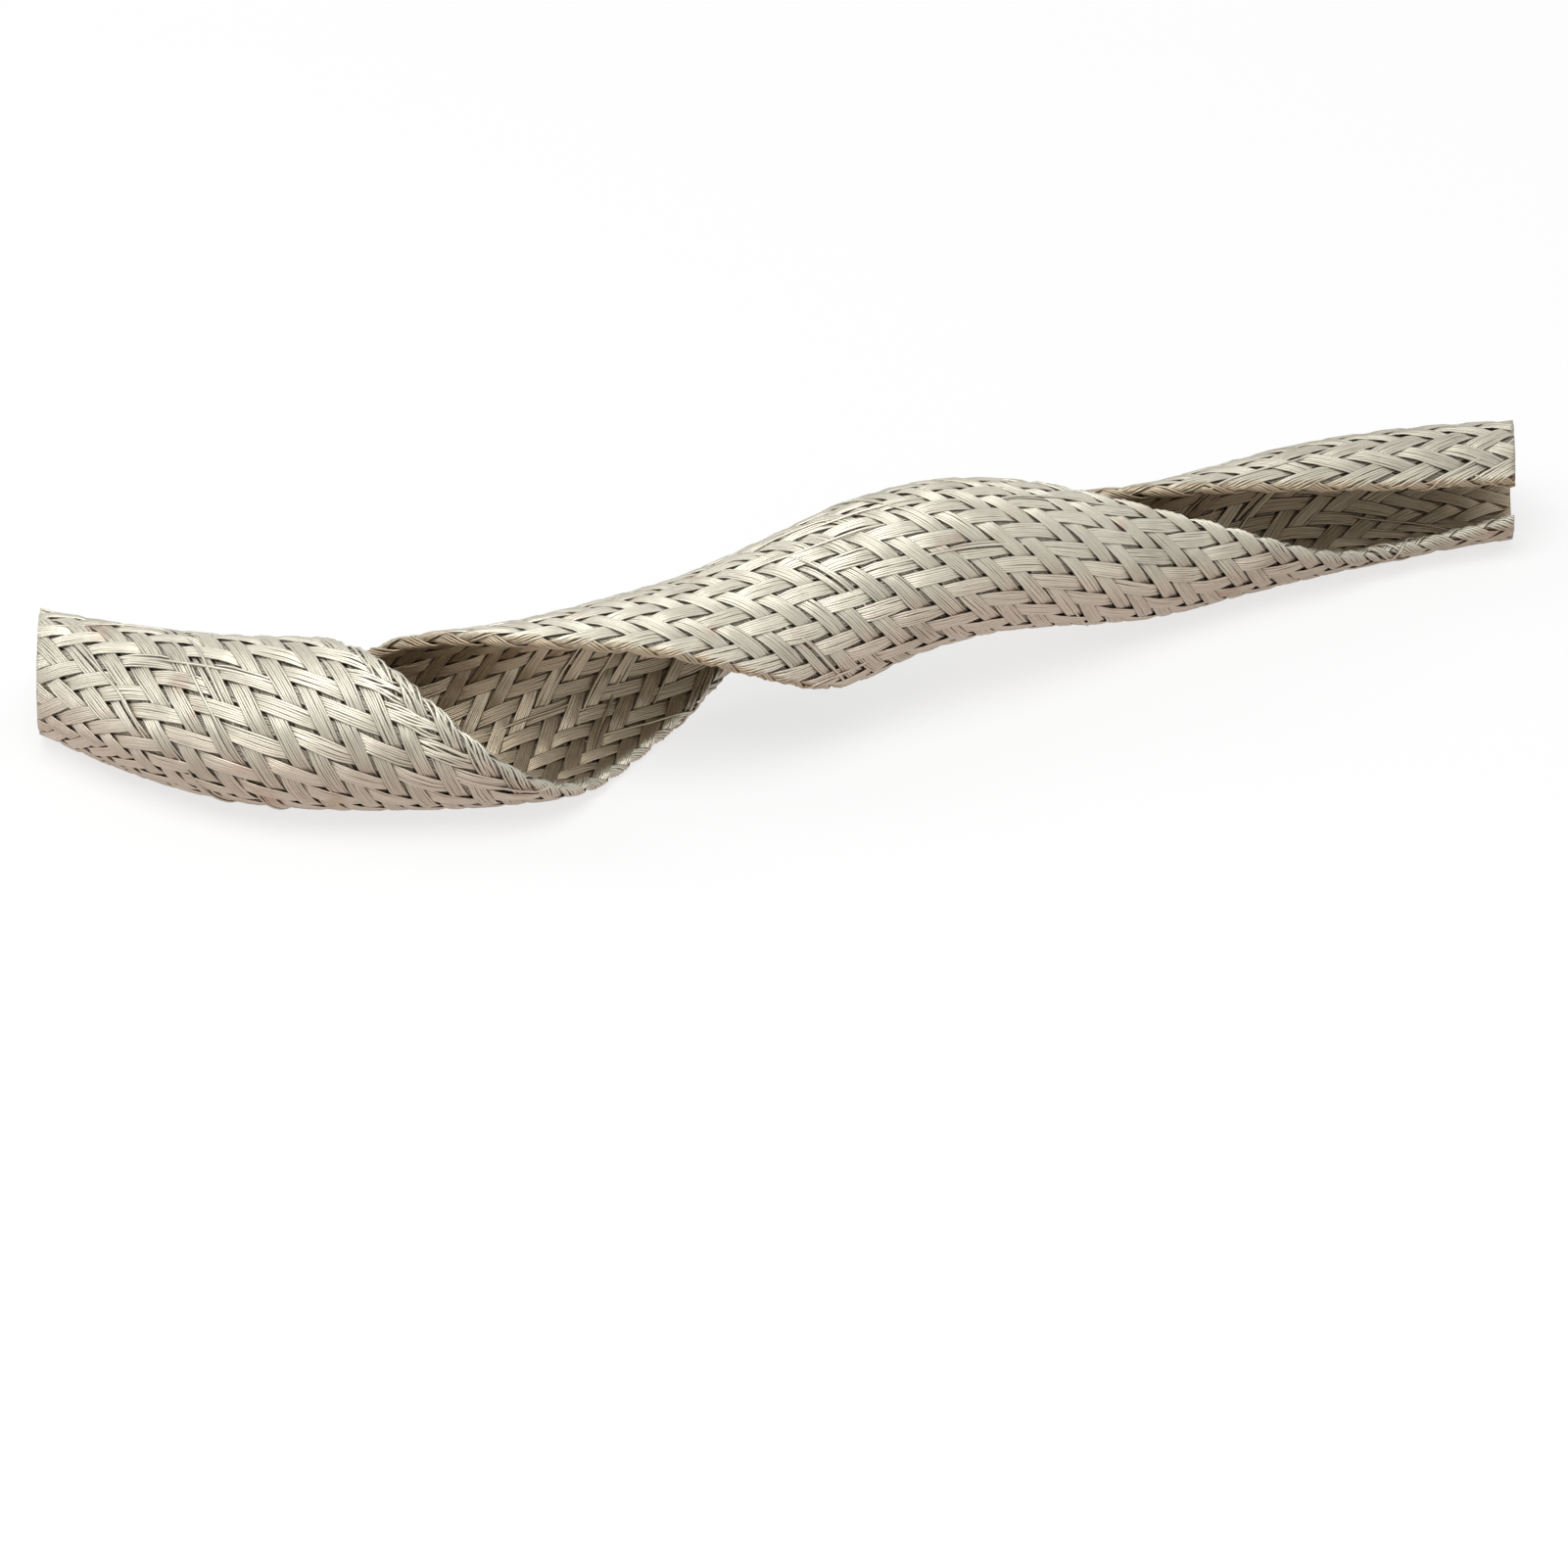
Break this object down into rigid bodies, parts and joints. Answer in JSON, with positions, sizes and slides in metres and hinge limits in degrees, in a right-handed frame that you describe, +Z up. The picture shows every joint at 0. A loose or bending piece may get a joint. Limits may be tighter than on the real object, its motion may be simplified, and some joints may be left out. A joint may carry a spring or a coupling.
{
  "type": "flexible busbar braid",
  "caption": "Flat tinned copper braid, twisted and curled into an open trough, as a flexible electrical link.",
  "frame": {"origin": "on the surface the strip lies on, under the middle of its box", "axes": "+X along the strip, +Y away from the viewing side, +Z up"},
  "size_m": [0.125, 0.0522, 0.0184],
  "materials": {
    "tinned_copper": "dull tinned copper wire, with fine streaks along each bundle"
  },
  "bodies": {
    "root": {"braid": "tinned_copper"}
  },
  "joints": []
}
